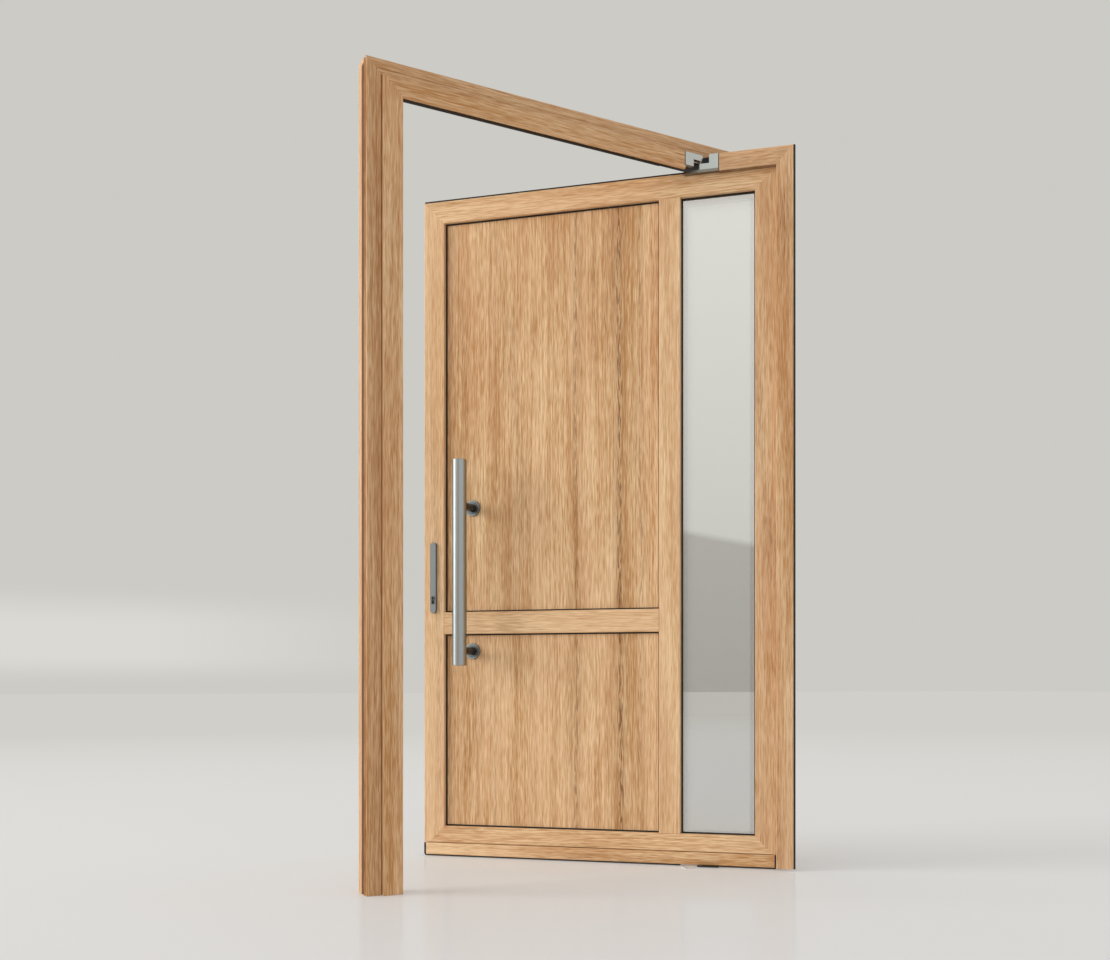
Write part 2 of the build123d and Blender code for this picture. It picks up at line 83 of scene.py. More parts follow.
def oak_foil(piece, across, turned, start, ring=None, stain=None, veins=(), veined=0.45):
    """Oak foil for one length. across: the grain lies along the door's width, not its height.
    turned: the piece is on the leaf, which rests swung open. start: where its print begins, in m.
    ring: the outer sides of a ring of beads, low and high x, then low and high z, in m.
    stain: a colour and how much of it. veins: where long dark veins run, each with its half width in
    m and its depth of colour. veined: how strongly the small veins between them show."""
    finish, tree = new_finish("oak_foil_" + piece)
    place = add(tree, "ShaderNodeTexCoord")["Object"]
    swing = math.radians(45) if turned else 0.0
    level = add(tree, "ShaderNodeMapping", {"Vector": place, "Rotation": (0, 0, swing)})["Vector"]
    laid = add(tree, "ShaderNodeMapping", {"Vector": level, "Location": start})["Vector"]
    lying = add(tree, "ShaderNodeMapping",
                {"Vector": level, "Location": start, "Rotation": (0, math.pi / 2, 0)})["Vector"]
    if ring:
        # A bead ring has four mitred lengths: the nearer edge decides which way its grain lies.
        low_x, high_x, low_z, high_z = ring
        spot = add(tree, "ShaderNodeSeparateXYZ", {"Vector": level})
        off = []
        for axis, low, high in (("X", low_x, high_x), ("Z", low_z, high_z)):
            middle = add(tree, "ShaderNodeMath", {0: spot[axis], 1: (low + high) / 2},
                         operation="SUBTRACT")["Value"]
            reach = add(tree, "ShaderNodeMath", {0: middle}, operation="ABSOLUTE")["Value"]
            off.append(add(tree, "ShaderNodeMath", {0: (high - low) / 2, 1: reach},
                           operation="SUBTRACT")["Value"])
        level_length = add(tree, "ShaderNodeMath", {0: off[1], 1: off[0]},
                           operation="LESS_THAN")["Value"]
        grain = add(tree, "ShaderNodeMix", {"Factor": level_length, 4: laid, 5: lying},
                    data_type="VECTOR")[1]
    else:
        grain = lying if across else laid

    def streaks(vector, width, length, detail, rough, low, high):
        """Noise drawn out along the grain, width by length in m, as 0 to 1 between low and high."""
        drawn = add(tree, "ShaderNodeMapping",
                    {"Vector": vector, "Scale": (1 / width, 1 / width, 1 / length)})["Vector"]
        noise = add(tree, "ShaderNodeTexNoise",
                    {"Vector": drawn, "Scale": 1.0, "Detail": detail, "Roughness": rough})["Fac"]
        return add(tree, "ShaderNodeMapRange",
                   {"Value": noise, "From Min": low, "From Max": high})["Result"]

    def swayed(vector, width, length, most):
        """The grain's place, pushed aside by up to about `most`, in waves of width by length in m."""
        drawn = add(tree, "ShaderNodeMapping",
                    {"Vector": vector, "Scale": (1 / width, 1 / width, 1 / length)})["Vector"]
        push = add(tree, "ShaderNodeTexNoise", {"Vector": drawn, "Scale": 1.0, "Detail": 2.0})["Color"]
        push = add(tree, "ShaderNodeVectorMath", {0: push, 1: (0.5, 0.5, 0.5)},
                   operation="SUBTRACT")["Vector"]
        push = add(tree, "ShaderNodeVectorMath", {0: push, 1: (3 * most, 3 * most, 0.0)},
                   operation="MULTIPLY")["Vector"]
        return add(tree, "ShaderNodeVectorMath", {0: vector, 1: push}, operation="ADD")["Vector"]

    # The fibres sway by a few mm over about a metre, the veins more sharply over a hand's width.
    bent = swayed(grain, 0.16, 0.90, 0.009)
    wavy = swayed(bent, 0.05, 0.15, 0.004)

    tone = streaks(bent, 0.070, 1.1, 2.0, 0.5, 0.32, 0.68)
    hue = streaks(bent, 0.07, 0.8, 1.0, 0.5, 0.38, 0.66)
    drift = streaks(bent, 0.026, 1.4, 2.0, 0.7, 0.30, 0.70)
    fibre = streaks(bent, 0.0050, 0.80, 1.0, 0.7, 0.32, 0.68)
    pore = streaks(bent, 0.0025, 0.055, 1.0, 0.6, 0.33, 0.67)
    dash = streaks(wavy, 0.0036, 0.045, 1.0, 0.5, 0.47, 0.60)

    # All the streaks together make one scale from dark to pale oak.
    weave = 0.5
    for mask, share in ((tone, 0.56), (drift, 0.26), (fibre, 0.42), (pore, 0.74)):
        centred = add(tree, "ShaderNodeMath", {0: mask, 1: 0.5}, operation="SUBTRACT")["Value"]
        weave = add(tree, "ShaderNodeMath", {0: centred, 1: share, 2: weave},
                    operation="MULTIPLY_ADD")["Value"]
    colour = add(tree, "ShaderNodeMix",
                 {"Factor": weave, 6: linear(DARK_OAK), 7: linear(PALE_OAK)}, data_type="RGBA")[2]

    # Small veins follow the middle level of a long slow noise, and show only in patches and dashes.
    drawn = add(tree, "ShaderNodeMapping",
                {"Vector": wavy, "Scale": (1 / 0.085, 1 / 0.085, 1 / 2.4)})["Vector"]
    slow = add(tree, "ShaderNodeTexNoise", {"Vector": drawn, "Scale": 1.0, "Detail": 0.0})["Fac"]
    slow = add(tree, "ShaderNodeMath", {0: slow, 1: 0.5}, operation="SUBTRACT")["Value"]
    slow = add(tree, "ShaderNodeMath", {0: slow}, operation="ABSOLUTE")["Value"]
    small = add(tree, "ShaderNodeMapRange",
                {"Value": slow, "From Min": 0.10, "From Max": 0.02, "To Max": veined})["Result"]
    patch = streaks(grain, 0.12, 0.8, 1.0, 0.5, 0.46, 0.60)
    vein = add(tree, "ShaderNodeMath", {0: small, 1: patch}, operation="MULTIPLY")["Value"]
    shade = add(tree, "ShaderNodeMath", {0: vein, 1: 0.5}, operation="MULTIPLY")["Value"]
    for middle, half, depth in veins:
        path = add(tree, "ShaderNodeSeparateXYZ", {"Vector": wavy})["X"]
        off = add(tree, "ShaderNodeMath", {0: path, 1: middle + start[0]}, operation="SUBTRACT")["Value"]
        off = add(tree, "ShaderNodeMath", {0: off}, operation="ABSOLUTE")["Value"]
        long_vein = add(tree, "ShaderNodeMapRange",
                        {"Value": off, "From Min": half, "From Max": half * 0.3,
                         "To Max": depth})["Result"]
        vein = add(tree, "ShaderNodeMath", {0: vein, 1: long_vein}, operation="MAXIMUM")["Value"]
        beside = add(tree, "ShaderNodeMapRange",
                     {"Value": off, "From Min": half * 4, "From Max": 0.0,
                      "To Max": depth * 0.5})["Result"]
        shade = add(tree, "ShaderNodeMath", {0: shade, 1: beside}, operation="MAXIMUM")["Value"]
    vein = add(tree, "ShaderNodeMath", {0: vein, 1: dash}, operation="MULTIPLY")["Value"]

    for mask, share, code in ((hue, 0.22, BLUSH), (shade, 0.50, BROWN), (vein, 0.80, VEIN)):
        amount = add(tree, "ShaderNodeMath", {0: mask, 1: share}, operation="MULTIPLY")["Value"]
        colour = add(tree, "ShaderNodeMix",
                     {"Factor": amount, 6: colour, 7: linear(code)}, data_type="RGBA")[2]
    if stain:
        code, share = stain
        colour = add(tree, "ShaderNodeMix",
                     {"Factor": share, 6: colour, 7: linear(code)}, data_type="RGBA")[2]
    dull = add(tree, "ShaderNodeMapRange",
               {"Value": fibre, "To Min": 0.62, "To Max": 0.48})["Result"]
    # The embossing of the foil is about a tenth of a millimetre deep.
    bump = add(tree, "ShaderNodeBump",
               {"Height": weave, "Strength": 0.4, "Distance": 0.0002})["Normal"]
    shader = add(tree, "ShaderNodeBsdfPrincipled",
                 {"Base Color": colour, "Roughness": dull, "Normal": bump, "IOR": 1.48,
                  "Specular IOR Level": 0.25})["BSDF"]
    add(tree, "ShaderNodeOutputMaterial", {"Surface": shader})
    return finish


for piece, across, start in (("left_jamb", False, (0.0, 0.0, 0.0)), ("right_jamb", False, (0.7, 0.0, 0.3)),
                             ("head", True, (0.0, 1.3, 0.0))):
    dress(piece, oak_foil(piece, across, False, start, stain=("9A5518", 0.20), veined=0.22))


# Weather seals and gaskets: extruded black rubber, pressed into grooves of the stops and the leaf and
# around the front of each infill.
def rubber(name, code, rough):
    """Black rubber: a dull skin, faintly mottled along its extruded length."""
    finish, tree = new_finish(name)
    place = add(tree, "ShaderNodeTexCoord")["Object"]
    mottle = add(tree, "ShaderNodeTexNoise", {"Vector": place, "Scale": 900.0, "Detail": 2.0})["Fac"]
    dull = add(tree, "ShaderNodeMapRange",
               {"Value": mottle, "To Min": rough - 0.08, "To Max": rough + 0.08})["Result"]
    colour = add(tree, "ShaderNodeMix", {"Factor": mottle, 6: linear(code), 7: linear("2A2927")},
                 data_type="RGBA")[2]
    shader = add(tree, "ShaderNodeBsdfPrincipled",
                 {"Base Color": colour, "Roughness": dull, "IOR": 1.52,
                  "Specular IOR Level": 0.3})["BSDF"]
    add(tree, "ShaderNodeOutputMaterial", {"Surface": shader})
    return finish


epdm = rubber("black_epdm_rubber", "1A1918", 0.62)
for piece in ("left_stop_seal", "head_stop_seal", "right_rear_seal", "head_rear_seal",
              "bottom_seal", "top_seal", "cover_edge_seal", "upper_panel_gasket",
              "lower_panel_gasket", "glass_pane_gasket"):
    dress(piece, epdm)


# Stop flanges: the flat bands that lap the leaf, outside on the lock half and inside on the pivot
# half, of the same profile and foil as the frame and welded to it.
for piece, across, start in (("left_front_stop", False, (2.1, 0.4, 0.9)),
                             ("head_front_stop", True, (3.1, 0.2, 0.4)),
                             ("right_rear_stop", False, (4.1, 0.8, 0.1)),
                             ("head_rear_stop", True, (5.1, 0.6, 0.2))):
    dress(piece, oak_foil(piece, across, False, start, stain=("C8741F", 0.13), veined=0.22))


# Painted shade: a narrow strip of the same foil, stained dark, set into the root of the step between
# the frame and its stop flange, paints the line of shade there.
def on_frame(x, y, z):
    """A place on the fixed frame, from mm to m."""
    return (x / 1000, y / 1000, z / 1000)


def on_leaf(x, y, z):
    """A place on the leaf, given in mm as if the door were shut, in m where the leaf rests."""
    half = math.sqrt(0.5)
    return ((x + y) * half / 1000, (y - x) * half / 1000, z / 1000)


def plate(name, place, wide, tall, deep, edge, finish, body, axis="Y"):
    """A flat oblong piece with softened edges, in mm. wide, tall and deep: where it begins and ends
    along x, z and y, or along y, z and x where it lies flat against a side (axis X)."""
    outline = [(wide[0], tall[0]), (wide[1], tall[0]), (wide[1], tall[1]), (wide[0], tall[1])]
    shape = bmesh.new()
    rims = []
    for depth in deep:
        corners = [(u, depth, v) if axis == "Y" else (depth, u, v) for u, v in outline]
        rims.append([shape.verts.new(place(*corner)) for corner in corners])
    shape.faces.new(rims[0])
    shape.faces.new(rims[1][::-1])
    for i in range(4):
        after = (i + 1) % 4
        shape.faces.new((rims[0][i], rims[1][i], rims[1][after], rims[0][after]))
    bmesh.ops.recalc_face_normals(shape, faces=shape.faces)
    bmesh.ops.bevel(shape, geom=list(shape.edges), offset=edge / 1000, segments=2, affect="EDGES")
    mesh = bpy.data.meshes.new(name)
    shape.to_mesh(mesh)
    shape.free()
    mesh.materials.append(finish)
    made = bpy.data.objects.new(name, mesh)
    bpy.context.scene.collection.objects.link(made)
    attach(made, body)
    return made


painted_shade_oak = oak_foil("painted_shade_strip", False, False, (6.1, 0.3, 0.2), stain=("4A2D15", 0.66))
flange_low, flange_high = ([1000 * side for side in corner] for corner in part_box("left_front_stop"))
STRIP_W, FRAME_FACE = 3.2, 8.0
# A dark strip paints the line of shade at the root of the jamb's step.
plate("jamb_painted_shade", on_frame, (flange_low[0] - STRIP_W, flange_low[0] - 0.05),
      (1.5, flange_high[2] - 0.1), (FRAME_FACE - 0.6, FRAME_FACE + 0.2), 0.15, painted_shade_oak,
      "fixed_frame")
# Behind the groove in its outer side each jamb carries a dark brown strip that paints a line of shade.
groove_shade = rubber("groove_painted_shade", "7A4E1E", 0.7)
GROOVE_SHADE_BAND, GROOVE_SHADE_RUN = (28.5, 50.0), (2.0, 2385.0)
for side, skin in (("left", (-1104.75, -1105.35)), ("right", (358.75, 359.35))):
    plate(side + "_jamb_groove_shade", on_frame, GROOVE_SHADE_BAND, GROOVE_SHADE_RUN, skin, 0.1, groove_shade, "fixed_frame",
          axis="X")


# Leaf frame: stiles, rails, mullion and mid rail, the same hollow profile and foil as the frame.
# The corners are mitred; the mullion and the mid rail butt against their neighbours.
# The lock stile, mullion and mid rail are made paler in tone, the pivot stile deeper.
PALER_TONE, DEEPER_TONE = ("F0CBA0", 0.26), ("A8642F", 0.16)
for piece, across, start, stain in (("lock_stile", False, (0.3, 2.2, 0.5), PALER_TONE),
                                    ("mullion", False, (2.3, 2.8, 0.7), PALER_TONE),
                                    ("pivot_stile", False, (1.3, 2.5, 0.2), DEEPER_TONE),
                                    ("top_rail", True, (0.3, 3.2, 0.1), None),
                                    ("bottom_rail", True, (1.2, 3.5, 0.6), None),
                                    ("mid_rail", True, (2.2, 3.8, 0.3), PALER_TONE)):
    dress(piece, oak_foil(piece, across, True, start, stain=stain))


# Infill panels: insulated boards with one wide oak-printed sheet on each face, the grain upright,
# held by a black gasket in front and by mitred beads behind.
SHEET_VEINS = ((-0.289, 0.014, 0.9), (-0.445, 0.010, 0.6), (-0.745, 0.007, 0.35), (-0.215, 0.010, 0.4))
for piece, start in (("upper_panel", (0.0, 5.0, 0.0)), ("lower_panel", (0.0, 5.0, 0.0))):
    dress(piece, oak_foil(piece, False, True, start, veins=SHEET_VEINS, veined=0.25))
for piece, start, ring in (("upper_panel_beads", (0.5, 6.0, 0.4), (-0.934, -0.147, 0.859, 2.229)),
                           ("lower_panel_beads", (1.5, 6.4, 0.8), (-0.934, -0.147, 0.107, 0.782)),
                           ("glass_pane_beads", (2.5, 6.8, 0.2), (-0.073, 0.181, 0.107, 2.229))):
    dress(piece, oak_foil(piece, False, True, start, ring))


# Glass: a sealed unit of coated float glass; each face mirrors much of the room and lets the rest
# through.
clear, tree = new_finish("float_glass")
mirror = add(tree, "ShaderNodeBsdfPrincipled",
             {"Base Color": linear("E8E7E6"), "Metallic": 1.0, "Roughness": 0.0})["BSDF"]
through = add(tree, "ShaderNodeBsdfTransparent", {"Color": linear("FCFDFB")})["BSDF"]
shine = add(tree, "ShaderNodeLayerWeight", {"Blend": 0.28})["Fresnel"]
shine = add(tree, "ShaderNodeMapRange", {"Value": shine, "To Min": 0.64, "To Max": 0.94})["Result"]
pane = add(tree, "ShaderNodeMixShader", {0: shine, 1: through, 2: mirror})["Shader"]
add(tree, "ShaderNodeOutputMaterial", {"Surface": pane})
dress("glass_pane", clear)


# Threshold strip: the drip profile under the bottom rail, in the same foil.
# Black rubber caps close both of its ends.
dress("bottom_strip", oak_foil("bottom_strip", True, True, (3.4, 7.2, 0.5)))
STRIP_TALL, STRIP_DEEP = (6.3, 46.6), (9.5, 77.0)
for side, cap_ends in (("lock", (-1011.2, -1004.5)), ("pivot", (246.5, 254.8))):
    plate("strip_cap_" + side, on_leaf, cap_ends, STRIP_TALL, STRIP_DEEP, 0.4, epdm, "pivot_leaf")


# Cover flanges: flat bands on the pivot end of the leaf that lap the frame outside, in the same foil
# and mitred where the side one meets the top one.
for piece, across, start in (("side_cover_flange", False, (0.4, 8.0, 0.3)),
                             ("top_cover_flange", True, (1.4, 8.4, 0.6))):
    dress(piece, oak_foil(piece, across, True, start, stain=("A8642F", 0.20)))
# A dark strip of painted shade is tucked under the top one, in the root of its step.
SHADE_RUN, SHADE_TALL, SHADE_DEEP = (63.0, 254.8), (2293.0, 2295.9), (-5.5, 10.2)
plate("flange_painted_shade", on_leaf, SHADE_RUN, SHADE_TALL, SHADE_DEEP, 0.3, painted_shade_oak, "pivot_leaf")


# Pivot caps, base and shoe: die-cast zinc with a satin grey coat that cover the pivot and let the
# mitred flanges pass each other; the pins inside are turned steel.
def cast_metal(name, code, rough, grit, lit_way=None, metal=1.0):
    """Satin metal: fine speckle of the coat, grit in m. lit_way: the way that its lit outside looks;
    all but that side and the underside is painted black, as the shade in the gaps between parts."""
    finish, tree = new_finish(name)
    texture = add(tree, "ShaderNodeTexCoord")
    speck = add(tree, "ShaderNodeTexNoise",
                {"Vector": texture["Object"], "Scale": 1 / grit, "Detail": 3.0})["Fac"]
    dull = add(tree, "ShaderNodeMapRange",
               {"Value": speck, "To Min": rough - 0.1, "To Max": rough + 0.1})["Result"]
    colour = add(tree, "ShaderNodeMix",
                 {"Factor": speck, 6: linear(code), 7: [0.86 * c for c in linear(code)]},
                 data_type="RGBA")[2]
    # Faces turned neither that way nor down are painted black, as the shade in the gaps between parts.
    if lit_way:
        out = add(tree, "ShaderNodeVectorMath", {0: texture["Normal"], 1: lit_way},
                  operation="DOT_PRODUCT")["Value"]
        under = add(tree, "ShaderNodeVectorMath", {0: texture["Normal"], 1: (0, 0, -1)},
                    operation="DOT_PRODUCT")["Value"]
        unshaded_faces = add(tree, "ShaderNodeMath", {0: out, 1: under}, operation="MAXIMUM")["Value"]
        unshaded_faces = add(tree, "ShaderNodeMapRange",
                      {"Value": unshaded_faces, "From Min": 0.3, "From Max": 0.6})["Result"]
        colour = add(tree, "ShaderNodeMix", {"Factor": unshaded_faces, 6: linear("1B1A1A"), 7: colour},
                     data_type="RGBA")[2]
    bump = add(tree, "ShaderNodeBump", {"Height": speck, "Strength": 0.15, "Distance": 0.0001})["Normal"]
    shader = add(tree, "ShaderNodeBsdfPrincipled",
                 {"Base Color": colour, "Metallic": metal, "Roughness": dull,
                  "Normal": bump})["BSDF"]
    add(tree, "ShaderNodeOutputMaterial", {"Surface": shader})
    return finish


frame_front, leaf_front = (0.0, -1.0, 0.0), (-math.sqrt(0.5), -math.sqrt(0.5), 0.0)
dress("fixed_pivot_cap", cast_metal("satin_zinc_fixed", "BEC0BE", 0.40, 0.0008, frame_front))
dress("leaf_pivot_cap", cast_metal("satin_zinc_leaf", "C2C8C5", 0.40, 0.0008, leaf_front))
dress("leaf_pivot_base", cast_metal("dark_zinc_base", "8E8A82", 0.42, 0.0008, leaf_front))
pins = cast_metal("turned_steel", "9A9C9C", 0.36, 0.0006, metal=0.3)
for piece in ("top_pivot_pin", "floor_pivot_pin"):
    dress(piece, pins)
black_cast = cast_metal("black_cast_zinc", "2C2D30", 0.42, 0.0008)
for piece in ("pivot_bearing", "bottom_pivot_shoe"):
    dress(piece, black_cast)
dress("floor_pivot_plate", cast_metal("pale_powder_coat", "EDECE8", 0.40, 0.0007, metal=0.0))
# A black housing under the head covers the top pivot.
UNDER_HEAD = (2326.5, 2330.2)
plate("top_pivot_housing", on_frame, (-110, 70), UNDER_HEAD, (8.3, 80.0), 0.8, black_cast,
      "fixed_frame")
# From there to the lock jamb a black rubber strip lies along the rear of the head's underside.
plate("soffit_seal", on_frame, (-1034.5, -110.5), UNDER_HEAD, (70.0, 83.5), 0.8, epdm, "fixed_frame")
# A thin black joint seal stands between each cap and the end of the foiled flange beside it.
CAP_TOP, JOINT_DEEP = 2353, (-8.35, -7.6)
plate("fixed_cap_joint", on_frame, (-64.6, -61.9), (2307, CAP_TOP), JOINT_DEEP, 0.2, epdm,
      "fixed_frame")
plate("leaf_cap_joint", on_leaf, (61.9, 64.4), (2296.2, CAP_TOP), JOINT_DEEP, 0.2, epdm,
      "pivot_leaf")


# Pull handles: satin stainless tube bars outside and inside on dark posts, each post on a round rose
# with a turned steel rim.
def brushed_steel(name, code, rough, lines_per_m):
    """Stainless steel brushed round the tube: fine level lines that blur what it mirrors."""
    finish, tree = new_finish(name)
    place = add(tree, "ShaderNodeTexCoord")["Object"]
    drawn = add(tree, "ShaderNodeMapping",
                {"Vector": place, "Scale": (12.0, 12.0, lines_per_m)})["Vector"]
    lines = add(tree, "ShaderNodeTexNoise", {"Vector": drawn, "Scale": 1.0, "Detail": 1.0})["Fac"]
    dull = add(tree, "ShaderNodeMapRange",
               {"Value": lines, "To Min": rough - 0.02, "To Max": rough + 0.02})["Result"]
    colour = add(tree, "ShaderNodeMix",
                 {"Factor": lines, 6: linear(code), 7: [0.90 * c for c in linear(code)]},
                 data_type="RGBA")[2]
    # At a grazing angle the tube is tinted brown: a painted reflection of the door.
    shader = add(tree, "ShaderNodeBsdfPrincipled",
                 {"Base Color": colour, "Metallic": 1.0, "Roughness": dull,
                  "Specular Tint": linear("70583F")})["BSDF"]
    add(tree, "ShaderNodeOutputMaterial", {"Surface": shader})
    return finish


satin = brushed_steel("satin_stainless", "AEB4B5", 0.32, 5000.0)
dark_posts = cast_metal("blackened_steel", "504A46", 0.36, 0.0006)
for piece in ("front_pull_bar", "rear_pull_bar"):
    dress(piece, satin)
for piece in ("front_pull_posts", "rear_pull_posts"):
    dress(piece, dark_posts)

# One tree turns every small ring on the door: rims of roses, key plugs and screw heads. Each ring has
# a softened square section, and stands on a point of the mesh that it is given.
turned_rings = bpy.data.node_groups.new("turned_rings", "GeometryNodeTree")
ring_sizes = {}
for label, kind in (("Geometry", "NodeSocketGeometry"), ("Outer Radius", "NodeSocketFloat"),
                    ("Inner Radius", "NodeSocketFloat"), ("Height", "NodeSocketFloat"),
                    ("Sides", "NodeSocketInt"), ("Turn", "NodeSocketVector"),
                    ("Finish", "NodeSocketMaterial")):
    socket = turned_rings.interface.new_socket(label, in_out="INPUT", socket_type=kind)
    ring_sizes[label] = socket.identifier
turned_rings.interface.new_socket("Geometry", in_out="OUTPUT", socket_type="NodeSocketGeometry")
given = add(turned_rings, "NodeGroupInput")
across_both = add(turned_rings, "ShaderNodeMath",
                  {0: given["Outer Radius"], 1: given["Inner Radius"]})["Value"]
middle = add(turned_rings, "ShaderNodeMath", {0: across_both, 1: 0.5}, operation="MULTIPLY")["Value"]
wall = add(turned_rings, "ShaderNodeMath", {0: given["Outer Radius"], 1: given["Inner Radius"]},
           operation="SUBTRACT")["Value"]
soft = add(turned_rings, "ShaderNodeMath", {0: given["Height"], 1: 0.3}, operation="MULTIPLY")["Value"]
round_path = add(turned_rings, "GeometryNodeCurvePrimitiveCircle",
                 {"Resolution": given["Sides"], "Radius": middle})["Curve"]
section = add(turned_rings, "GeometryNodeCurvePrimitiveQuadrilateral",
              {"Width": wall, "Height": given["Height"]})["Curve"]
section = add(turned_rings, "GeometryNodeFilletCurve", {"Curve": section, "Count": 2, "Radius": soft},
              mode="POLY")["Curve"]
one_ring = add(turned_rings, "GeometryNodeCurveToMesh",
               {"Curve": round_path, "Profile Curve": section})["Mesh"]
placed = add(turned_rings, "GeometryNodeInstanceOnPoints",
             {"Points": given["Geometry"], "Instance": one_ring, "Rotation": given["Turn"]})["Instances"]
real = add(turned_rings, "GeometryNodeRealizeInstances", {"Geometry": placed})["Geometry"]
real = add(turned_rings, "GeometryNodeSetMaterial",
           {"Geometry": real, "Material": given["Finish"]})["Geometry"]
add(turned_rings, "NodeGroupOutput", {"Geometry": real})


def rings(name, places, sizes, turn, finish, body):
    """Rings on the given places, as a plain mesh. sizes: outer and inner radius and height, in mm."""
    points = bpy.data.meshes.new(name)
    points.from_pydata(places, [], [])
    made = bpy.data.objects.new(name, points)
    bpy.context.scene.collection.objects.link(made)
    turning = made.modifiers.new("turned_rings", "NODES")
    turning.node_group = turned_rings
    outer, inner, height = (size / 1000 for size in sizes)
    for label, value in (("Outer Radius", outer), ("Inner Radius", inner), ("Height", height),
                         ("Sides", 40 if outer > 0.01 else 20), ("Turn", turn), ("Finish", finish)):
        turning[ring_sizes[label]] = value
    bpy.context.view_layer.update()
    ready = made.evaluated_get(bpy.context.evaluated_depsgraph_get())
    mesh = bpy.data.meshes.new_from_object(ready)
    made.modifiers.clear()
    made.data = mesh
    shape = bmesh.new()
    shape.from_mesh(mesh)
    bmesh.ops.recalc_face_normals(shape, faces=shape.faces)
    shape.to_mesh(mesh)
    shape.free()
    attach(made, body)
    return made


FACING_LEAF = (math.radians(90), 0, math.radians(-45))
rim_steel = brushed_steel("turned_rose_rim", "AEB6B8", 0.30, 3000.0)
face_steel = brushed_steel("turned_rose_face", "868C90", 0.36, 3000.0)
BAR_X, POST_HEIGHTS = -832.0, (721.5, 1223.0)
ROSE_RIM, ROSE_FACE = (27.4, 22.6, 1.8), (22.8, 13.4, 1.0)
for side, face in (("front", 22.0), ("rear", 66.0)):
    roses = [on_leaf(BAR_X, face, height) for height in POST_HEIGHTS]
    rings(side + "_rose_rims", roses, ROSE_RIM, FACING_LEAF, rim_steel, "pivot_leaf")
    rings(side + "_rose_faces", roses, ROSE_FACE, FACING_LEAF, face_steel, "pivot_leaf")


# Lock: narrow satin plates with rounded ends around a profile cylinder, dark grey partly of itself and
# partly as painted shade, with its key plug and keyway, and on the leaf's edge a steel faceplate with
# latch and bolt, screwed on, opposite a keep that is screwed to the jamb.
plate_steel = brushed_steel("satin_plate", "9AA0A4", 0.34, 3000.0)
for piece in ("front_lock_plate", "rear_lock_plate"):
    dress(piece, plate_steel)
# The cylinder's dark grey also paints the shade along its side.
dark_cylinder_and_shade = cast_metal("grey_and_painted_shade_cylinder", "3A3D3F", 0.34, 0.0005)
PLATE_X, KEY_Z = -973.0, 908.0
KEY_PLUG, KEYWAY_HALF_W, KEYWAY_HALF_H = (6.4, 5.2, 0.8), 1.1, 4.4
for side, face, out in (("front", 0.0, -0.4), ("rear", 88.0, 0.4)):
    dress(side + "_cylinder", dark_cylinder_and_shade)
    rings(side + "_key_plug", [on_leaf(PLATE_X, face, KEY_Z)], KEY_PLUG, FACING_LEAF, rim_steel,
          "pivot_leaf")
    plate(side + "_keyway", on_leaf, (PLATE_X - KEYWAY_HALF_W, PLATE_X + KEYWAY_HALF_W),
          (KEY_Z - KEYWAY_HALF_H, KEY_Z + KEYWAY_HALF_H), (face + out, face - out), 0.1, black_cast,
          "pivot_leaf")
edge_steel = brushed_steel("zinc_plated_faceplate", "B4B7B8", 0.32, 3000.0)
LOCK_EDGE, JAMB_SIDE, EDGE_MIDDLE = -1011.0, -1035.0, 44.0
PLATE_THICK, LET_IN = 2.0, 0.3
for name, half, tall, out, edge, finish in (
        ("lock_faceplate", 11, (780, 1180), PLATE_THICK, 0.5, edge_steel),
        ("latch_bolt", 6, (1035, 1070), 11.0, 1.5, rim_steel),
        ("dead_bolt", 7, (940, 972), 3.4, 0.6, rim_steel)):
    plate(name, on_leaf, (EDGE_MIDDLE - half, EDGE_MIDDLE + half), tall,
          (LOCK_EDGE - out, LOCK_EDGE + LET_IN), edge, finish, "pivot_leaf", axis="X")
SCREW_HEAD = (3.6, 0.9, 1.0)
FACING_LOCK_EDGE = (math.radians(90), 0, math.radians(45))
FACING_JAMB = (math.radians(90), 0, math.radians(90))
rings("faceplate_screws",
      [on_leaf(LOCK_EDGE - PLATE_THICK, EDGE_MIDDLE, height) for height in (795, 890, 1120, 1165)],
      SCREW_HEAD, FACING_LOCK_EDGE, rim_steel, "pivot_leaf")
plate("jamb_keep", on_frame, (EDGE_MIDDLE - 12, EDGE_MIDDLE + 12), (900, 1110),
      (JAMB_SIDE - LET_IN, JAMB_SIDE + PLATE_THICK), 0.5, edge_steel, "fixed_frame",
      axis="X")
rings("keep_screws",
      [on_frame(JAMB_SIDE + PLATE_THICK, EDGE_MIDDLE, height) for height in (912, 1098)],
      SCREW_HEAD, FACING_JAMB, rim_steel, "fixed_frame")
plate("keep_mouth", on_frame, (EDGE_MIDDLE - 8, EDGE_MIDDLE + 8), (930, 1080),
      (JAMB_SIDE - LET_IN, JAMB_SIDE + 2.2), 0.1, black_cast, "fixed_frame", axis="X")


# Floor plate screws: two countersunk steel screws that hold the floor pivot's plate down, clear of
# the shoe that turns above it.
FLOOR_SCREW_HEAD, FACING_UP = (3.6, 0.9, 0.5), (0.0, 0.0, 0.0)
rings("floor_plate_screws", [on_frame(-52.0, y, 2.0) for y in (2.0, 22.0)], FLOOR_SCREW_HEAD,
      FACING_UP, rim_steel, "fixed_frame")


